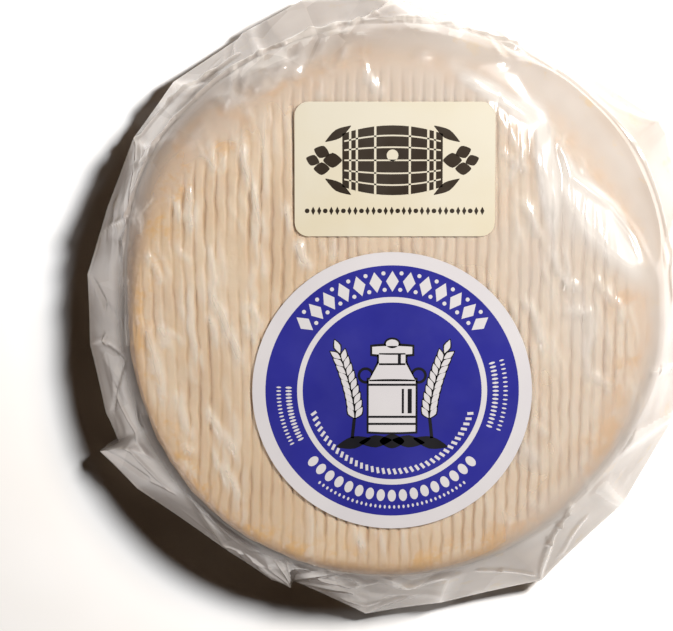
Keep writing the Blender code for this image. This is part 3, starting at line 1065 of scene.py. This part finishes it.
# %% [markdown]
# ### The film's finish
#
# The film is white, glossy and see-through. The alpha of the shader lets the wheel show, and
# follows the painted milkiness. A pattern of cells with straight borders makes each stretch a
# little more or less milky than the next, as where the sheet lies double. Its colour takes a
# painted highlight on the face and on its milkiest stretches. A soft, long-drawn cloud in the
# bump makes the reflections waver as they do on thin plastic.

# %% Film finish
FILM_WHITE = (0.76, 0.71, 0.675, 1)
FILM_GREY = (0.70, 0.64, 0.60, 1)
FILM_WARM = (0.70, 0.585, 0.485, 1)
FILM_OCHRE = (0.78, 0.58, 0.34, 1)
FILM_HIGHLIGHT = (0.95, 0.89, 0.82, 1)


def film_finish():
    finish, shader = new_finish("milky_film", 0.26)
    place = place_of(finish)
    cells = {"Vector": place_of(finish, (1, 1, 0.5)), "Scale": 58.0, "Randomness": 1.0}
    layered = add_node(finish, "ShaderNodeTexVoronoi", cells, output="Color")
    warm, top_highlight = painted(finish, "warmth"), painted(finish, "top_highlight")
    loose = times(finish, spread(finish, warm, 0.5, 0.8, 1, 0), spread(finish, top_highlight, 0, 1, 1, 0))
    uneven = plus(finish, 1.0, times(finish, spread(finish, layered, 0, 1, -0.16, 0.1), loose))
    faint = spread(finish, cloud(finish, place, 45.0, 2.0), 0.3, 0.7, 0.94, 1.06)
    milk = times(finish, painted(finish, "milk"), times(finish, uneven, faint))
    join(finish, shader.inputs["Alpha"], add_node(finish, "ShaderNodeClamp", {"Value": milk}))
    tone = spread(finish, cloud(finish, place, 26.0, 2.0), 0.35, 0.65)
    # the warm tone stands for the tan rind behind the film and its warm bounce light
    warmth = times(finish, warm, spread(finish, tone, 0, 1, 0.7, 1.0))
    specks = spread(finish, cloud(finish, place, 95.0, 4.0, 0.6), 0.56, 0.68, 0.0, 0.6)
    # painted highlight: the colour turns pale on the face, fading over the shoulder, and where the film
    # is milkiest
    crest = spread(finish, painted(finish, "milk"), 0.955, 1.0)
    film_highlight = plus(finish, times(finish, top_highlight, 0.85), crest)
    coats = (
        (tone, FILM_GREY),
        (warmth, FILM_WARM),
        (times(finish, specks, warm), FILM_OCHRE),
        (film_highlight, FILM_HIGHLIGHT),
    )
    join(finish, shader.inputs["Base Color"], lay_over(finish, FILM_WHITE, coats))
    waver = cloud(finish, place_of(finish, (1, 0.5, 1)), 140.0, 2.0)
    join(finish, shader.inputs["Normal"], dent(finish, waver, 0.1, 0.6 * MM))
    shader.inputs["IOR"].default_value = 1.5
    shader.inputs["Coat Weight"].default_value = 1.0
    shader.inputs["Coat IOR"].default_value = 1.6
    shader.inputs["Coat Roughness"].default_value = 0.12
    return finish


film = make_film(film_finish())
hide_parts("wrapped_cheese")
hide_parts("wrapped_cheese")

# %% [markdown]
# ## The labels' paper
#
# The labels keep their measured solids and only get their paper. Both are coated papers: nearly
# even in colour, with a faint cloud, a very fine grain in the bump, and a gloss that varies.

# %% Paper finishes
WHITE_PAPER = ((0.80, 0.775, 0.80, 1), (0.86, 0.835, 0.85, 1))
CREAM_PAPER = ((0.85, 0.77, 0.57, 1), (0.87, 0.82, 0.67, 1))


def paper_finish(name, tones, roughness):
    finish, shader = new_finish(name, roughness)
    place = place_of(finish)
    mottle = spread(finish, cloud(finish, place, 22.0, 4.0), 0.3, 0.7)
    join(finish, shader.inputs["Base Color"], blend(finish, mottle, *tones))
    fibres = cloud(finish, place, 1500.0, 4.0, 0.7)
    patchy = spread(finish, cloud(finish, place, 60.0), 0.3, 0.7, roughness - 0.06, roughness + 0.08)
    join(finish, shader.inputs["Roughness"], patchy)
    join(finish, shader.inputs["Normal"], dent(finish, fibres, 0.25, 0.05 * MM))
    return finish


def dress_label(name, finish):
    for slot in bpy.data.objects[name].material_slots:
        slot.material = finish
    print(name, "takes", finish.name)


dress_label("round_label", paper_finish("white_paper", WHITE_PAPER, 0.4))
dress_label("cream_label", paper_finish("cream_paper", CREAM_PAPER, 0.42))

# %% [markdown]
# ## The print
#
# Ink is a film a few hundredths of a millimetre thick, and here each colour is a thin closed
# piece on the paper, which keeps its edges sharp at any distance. A patch starts as a circle or
# a grid of one piece, is pressed to its outline by a small formula, and is extruded upwards. A
# later colour lies one layer higher, so that it covers the one before.

# %% Patches of ink
INK = 0.03 * MM
PATCH_HEIGHT = 1.5 * INK
PAPER_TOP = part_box("round_label")[1].z


def thicken(bm, faces, layer):
    """Moves flat faces to a layer of ink and extrudes them upwards into a thin closed patch."""
    verts = verts_of(faces)
    bmesh.ops.translate(bm, verts=verts, vec=(0, 0, PAPER_TOP + (layer - 0.5) * INK))
    made = bmesh.ops.extrude_face_region(bm, geom=faces)["geom"]
    raised = only(bmesh.types.BMVert, made)
    bmesh.ops.translate(bm, verts=raised, vec=(0, 0, PATCH_HEIGHT))


def set_patch(bm, verts, size, turn, at, layer):
    """Sizes, turns and places a patch that was made between -1 and 1, then thickens it."""
    bmesh.ops.scale(bm, verts=verts, vec=(size[0] * MM / 2, size[1] * MM / 2, 1))
    turning = Matrix.Rotation(math.radians(turn), 3, "Z")
    bmesh.ops.rotate(bm, verts=verts, cent=(0, 0, 0), matrix=turning)
    bmesh.ops.translate(bm, verts=verts, vec=(at[0] * MM, at[1] * MM, 0))
    thicken(bm, list({face for vert in verts for face in vert.link_faces}), layer)


def oval(bm, at, size, turn=0.0, layer=1, sides=20, pinch=0.0):
    """A patch with a round outline. pinch draws its two ends to points, as on a grain or a leaf."""
    verts = bmesh.ops.create_circle(bm, cap_ends=True, segments=sides, radius=1)["verts"]
    for vert in verts:
        vert.co.y *= 1 - pinch * abs(vert.co.x) ** 1.5
    set_patch(bm, verts, size, turn, at, layer)


def strip(bm, at, size, turn=0.0, layer=1, taper=0.0, bulge=0.0, bend=0.0):
    """A patch with straight ends. taper narrows its top, bulge swells its middle, bend bows it."""
    verts = bmesh.ops.create_grid(bm, x_segments=10, y_segments=1, size=1)["verts"]
    for vert in verts:
        x, y = vert.co.xy
        vert.co.x = x * (1 - taper * (y + 1) / 2)
        vert.co.y = y * (1 + bulge * (1 - x * x)) + bend * (1 - x * x)
    set_patch(bm, verts, size, turn, at, layer)


def hoop(bm, at, outer, inner, layer=1, sides=128):
    """A ring of ink, given its outer and inner radius."""
    circle = bmesh.ops.create_circle(bm, cap_ends=False, segments=sides, radius=outer * MM)["verts"]
    edges = list({edge for vert in circle for edge in vert.link_edges})
    made = bmesh.ops.extrude_edge_only(bm, edges=edges)["geom"]
    inside = only(bmesh.types.BMVert, made)
    bmesh.ops.scale(bm, verts=inside, vec=(inner / outer, inner / outer, 1))
    bmesh.ops.translate(bm, verts=circle + inside, vec=(at[0] * MM, at[1] * MM, 0))
    thicken(bm, only(bmesh.types.BMFace, made), layer)


def round_about(middle, radius, first, last, count):
    """Places along an arc, from first to last in degrees, each with its turn."""
    for angle in np.linspace(first, last, count):
        away = np.array([math.cos(math.radians(angle)), math.sin(math.radians(angle))]) * radius
        yield np.array(middle) + away, angle


# %% [markdown]
# ### The round label's print
#
# A blue field leaves a white border, and a white ring divides it. Lozenges and beads run round
# the band, and in the middle stands a milk churn between two ears of barley. A barley ear is a
# bent line of grains, with a dark grain under each white one that shows as its outline.

# %% Blue field and white band
ROUND_MIDDLE = (-0.9, -25.7)


def blue_print(bm):
    oval(bm, ROUND_MIDDLE, (92.0, 92.0), sides=160)


def band_print(bm):
    hoop(bm, ROUND_MIDDLE, 34.5, 32.5, layer=2)
    for at, turn in round_about(ROUND_MIDDLE, 40.2, 38, 142, 13):
        oval(bm, at, (7.6, 4.6), turn, layer=2, sides=4)
    for radius in (37.2, 43.2):
        for at, turn in round_about(ROUND_MIDDLE, radius, 42.3, 137.7, 12):
            oval(bm, at, (1.5, 1.5), turn, layer=2, sides=12)
    for at, turn in round_about(ROUND_MIDDLE, 38.6, 222, 318, 17):
        oval(bm, at, (4.4, 3.0), turn, layer=2)
    for at, turn in round_about(ROUND_MIDDLE, 42.8, 232, 308, 34):
        oval(bm, at, (1.3, 0.8), turn, layer=2, sides=10)
    for first, last in ((178, 208), (-20, 16)):
        for radius, size in ((37.6, 1.2), (41.2, 0.9)):
            for at, turn in round_about(ROUND_MIDDLE, radius, first, last, 17):
                oval(bm, at, (2 * size, 0.7 * size), turn, layer=2, sides=8)
    for at, turn in round_about(ROUND_MIDDLE, 29.6, 196, 344, 38):
        strip(bm, at, (1.0, 2.2), turn - 90 + 20, layer=2)


# %% Churn and barley
CHURN_MIDDLE = (-0.9, -24.5)
BARLEY_GRAINS = 9


def churn(bm, grow, layer):
    """The churn's body, shoulder, neck and lid, each grown outwards by the same width."""
    x, y = CHURN_MIDDLE
    strip(bm, (x, y - 6.5), (17 + grow, 19 + grow), layer=layer, bulge=0.03)
    strip(bm, (x, y + 5.8), (17 + grow, 6.6 + grow), layer=layer, taper=0.42)
    strip(bm, (x, y + 10.6), (9.6 + grow, 4.4 + grow), layer=layer)
    strip(bm, (x, y + 13.8), (14.5 + grow, 2.6 + grow), layer=layer, bulge=0.25)
    oval(bm, (x, y + 16.2), (4.6 + grow, 3.2 + grow), layer=layer)


def barley(bm, side, grow, layer):
    """One ear of barley that bends outwards. side is -1 for the left ear and 1 for the right."""
    for number in range(BARLEY_GRAINS):
        share = number / (BARLEY_GRAINS - 1)
        x = CHURN_MIDDLE[0] + side * (13.5 + 5.5 * share**1.5)
        y = CHURN_MIDDLE[1] - 9.0 + 21.0 * share
        lean = 90 - side * 22 * share
        for hand in (-1, 1):
            at = (x + hand * 1.5, y)
            oval(bm, at, (4.6 + grow, 2.1 + grow), lean - hand * 32, layer, 14, pinch=0.75)
    oval(bm, (x + side * 0.9, y + 3.2), (5.2 + grow, 2.2 + grow), lean, layer, 14, pinch=0.75)


def barley_ears(bm, grow, layer):
    for side in (-1, 1):
        barley(bm, side, grow, layer)


def churn_marks(bm):
    x, y = CHURN_MIDDLE
    for height in (-13.2, -10.6, 1.2):
        strip(bm, (x, y + height), (17.4, 0.8), layer=4)
    for offset, width in ((6.4, 1.5), (3.9, 0.8)):
        strip(bm, (x + offset, y - 4.8), (width, 9.0), layer=4)
    strip(bm, (x + 2.6, y + 10.6), (1.1, 3.6), layer=4)
    for side in (-1, 1):
        hoop(bm, (x + side * 9.6, y + 4.6), 3.0, 2.0, layer=2, sides=32)
        strip(bm, (x + side * 14.0, y - 14.0), (1.2, 9.0), side * 6, layer=2)
    for offset, width, lean in ((-14, 13, 14), (14, 13, -14), (-6, 12, 5), (6, 12, -5)):
        oval(bm, (x + offset, y - 19.4 - abs(lean) * 0.05), (width, 4.6), lean, 2, pinch=0.6)
    oval(bm, (x, y - 19.6), (9, 5.4), layer=2, pinch=0.4)


# %% [markdown]
# ### The cream label's print
#
# One dark ink prints a barrel that lies on its side between two sprigs of hops, and a row of
# lozenges under it. Cream lines laid over the barrel draw its staves and hoops.

# %% Barrel and hops
BARREL_MIDDLE = (-1.0, 58.2)
HOPS = ((21.5, 0, 5.4), (25.4, 3.0, 4.6), (25.4, -3.0, 4.6), (28.6, 0, 4.0))


def barrel_print(bm):
    x, y = BARREL_MIDDLE
    strip(bm, (x, y), (36, 19), bulge=0.32)
    for side in (-1, 1):
        for number, (out, up, size) in enumerate(HOPS):
            lean = side * 20 * (number % 2)
            oval(bm, (x + side * out, y + up), (size * 1.25, size), lean, pinch=0.55)
        for lift in (-1, 1):
            oval(bm, (x + side * 19.5, y + lift * 9.5), (11.0, 3.4), -side * lift * 32, pinch=0.7)
    for number, offset in enumerate(np.linspace(-31.5, 31.5, 30)):
        size = (1.5, 3.0) if number % 3 else (1.7, 1.7)
        oval(bm, (-0.15 + offset, 40.0), size, sides=4 if number % 3 else 12)


def barrel_lines(bm):
    x, y = BARREL_MIDDLE
    for level in (-0.72, -0.38, 0.0, 0.38, 0.72):
        strip(bm, (x, y + level * 9.5), (34.6, 0.55), layer=2, bend=level * 10.5)
    for offset in (-15.2, -12.8, -6.2, 6.2, 12.8, 15.2):
        height = 19.4 * (1 + 0.32 * (1 - (offset / 18) ** 2))
        strip(bm, (x + offset, y), (0.8, height), layer=2)
    oval(bm, (x, y + 1.8), (4.2, 4.2), layer=2)


# %% Ink finishes and the printed pieces
INK_BLUE = ((0.027, 0.028, 0.30, 1), (0.036, 0.037, 0.36, 1))
INK_WHITE = ((0.80, 0.78, 0.80, 1), (0.86, 0.84, 0.85, 1))
INK_BLACK = ((0.012, 0.012, 0.016, 1), (0.02, 0.019, 0.022, 1))
INK_BROWN = ((0.032, 0.022, 0.014, 1), (0.05, 0.036, 0.024, 1))


def print_piece(name, finish, slot, *drawings):
    bm = bmesh.new()
    for drawing, *settings in drawings:
        drawing(bm, *settings)
    return finish_piece(bm, name, finish)


white_ink = paper_finish("white_ink", INK_WHITE, 0.38)
black_ink = paper_finish("black_ink", INK_BLACK, 0.34)
blue_ink = paper_finish("blue_ink", INK_BLUE, 0.34)
brown_ink = paper_finish("brown_ink", INK_BROWN, 0.36)
cream_ink = paper_finish("cream_ink", CREAM_PAPER, 0.4)
white_drawings = ((band_print,), (churn, 0.0, 3), (barley_ears, 0.0, 3))
black_drawings = ((churn, 1.5, 2), (barley_ears, 1.1, 2), (churn_marks,))
print_piece("blue_ground", blue_ink, "blue_label_paper", (blue_print,))
print_piece("white_motifs", white_ink, "blue_label_paper", *white_drawings)
print_piece("black_motifs", black_ink, "blue_label_paper", *black_drawings)
print_piece("barrel_motif", brown_ink, "cream_label_paper", (barrel_print,))
print_piece("barrel_staves", cream_ink, "cream_label_paper", (barrel_lines,))

# %% [markdown]
# ## Light and floor
#
# One soft key light comes from the upper right and throws the shadow to the lower left. It is
# near enough for the far side of the wheel to be darker. The floor is lit a second time from
# nearly the same place, so that it burns out to white as in a studio picture while the shadow
# stays deep, and further out, where that light fades, it glows a little by itself. Fill lights
# reach only the pieces.

# %% Floor
FLOOR_WIDTH = 12.0
FLOOR_DROP = 0.2 * MM
FLOOR_TONES = ((0.52, 0.42, 0.31, 1), (0.55, 0.45, 0.34, 1))
GLOW_COLOUR = (1.0, 0.98, 0.96, 1)
GLOW_FROM, GLOW_TO, GLOW = 0.28, 0.9, 0.8


def floor_finish():
    finish, shader = new_finish("pale_floor", 0.8)
    place = place_of(finish)
    tone = spread(finish, cloud(finish, place, 9.0), 0.3, 0.7)
    join(finish, shader.inputs["Base Color"], blend(finish, tone, *FLOOR_TONES))
    away = add_node(finish, "ShaderNodeVectorMath", {0: place}, output="Value", operation="LENGTH")
    glow = spread(finish, away, GLOW_FROM, GLOW_TO, 0.0, GLOW)
    shader.inputs["Emission Color"].default_value = GLOW_COLOUR
    join(finish, shader.inputs["Emission Strength"], glow)
    return finish


def make_floor():
    bm = bmesh.new()
    bmesh.ops.create_grid(bm, x_segments=1, y_segments=1, size=FLOOR_WIDTH / 2)
    floor = new_object(bm, "floor", floor_finish())
    floor.location.z = -FLOOR_DROP
    print("floor", FLOOR_WIDTH, "m wide")
    return floor


# %% Lights
LIGHTS = (
    # name, turn and rise in degrees, distance and size, power, colour, and what it lights
    ("key", 38, 52, 0.62, 0.11, 3.2, (1.0, 0.97, 0.94), "all"),
    ("floor_key", 41, 58, 0.62, 0.099, 12.0, (0.85, 1.04, 1.38), "floor"),
    ("left_fill", 178, 42, 1.1, 0.6, 1.9, (1.0, 0.95, 0.92), "pieces"),
    ("front_fill", 224, 34, 1.2, 0.5, 3.4, (1.0, 0.95, 0.93), "pieces"),
)
DUSK_COLOUR, DUSK_STRENGTH = (1.0, 0.46, 0.16, 1), 0.010


def add_light(name, turn, rise, distance, size, power, colour, lit):
    """An area light that looks at the wheel. lit lists the objects that it lights, if not all."""
    data = bpy.data.lights.new(name, "AREA")
    data.shape = "DISK"
    data.size = size
    data.energy = power
    data.color = colour
    light = bpy.data.objects.new(name, data)
    turn, rise = math.radians(turn), math.radians(rise)
    flat = math.cos(rise)
    towards = Vector((flat * math.cos(turn), flat * math.sin(turn), math.sin(rise)))
    light.location = towards * distance
    light.rotation_euler = towards.to_track_quat("Z", "Y").to_euler()
    bpy.context.scene.collection.objects.link(light)
    if lit:
        group = bpy.data.collections.new(name + "_lights")
        for piece in lit:
            group.objects.link(piece)
        light.light_linking.receiver_collection = group


def light_scene(floor):
    pieces = [obj for obj in bpy.data.objects if obj.type == "MESH" and obj != floor]
    groups = {"all": None, "floor": [floor], "pieces": pieces}
    for *settings, lit in LIGHTS:
        add_light(*settings, groups[lit])
    world = bpy.data.worlds.new("studio")
    world.use_nodes = True
    background = world.node_tree.nodes["Background"]
    background.inputs["Color"].default_value = DUSK_COLOUR
    background.inputs["Strength"].default_value = DUSK_STRENGTH
    bpy.context.scene.world = world
    bpy.context.scene.view_settings.view_transform = "Standard"
    print(len(LIGHTS), "lights")


light_scene(make_floor())
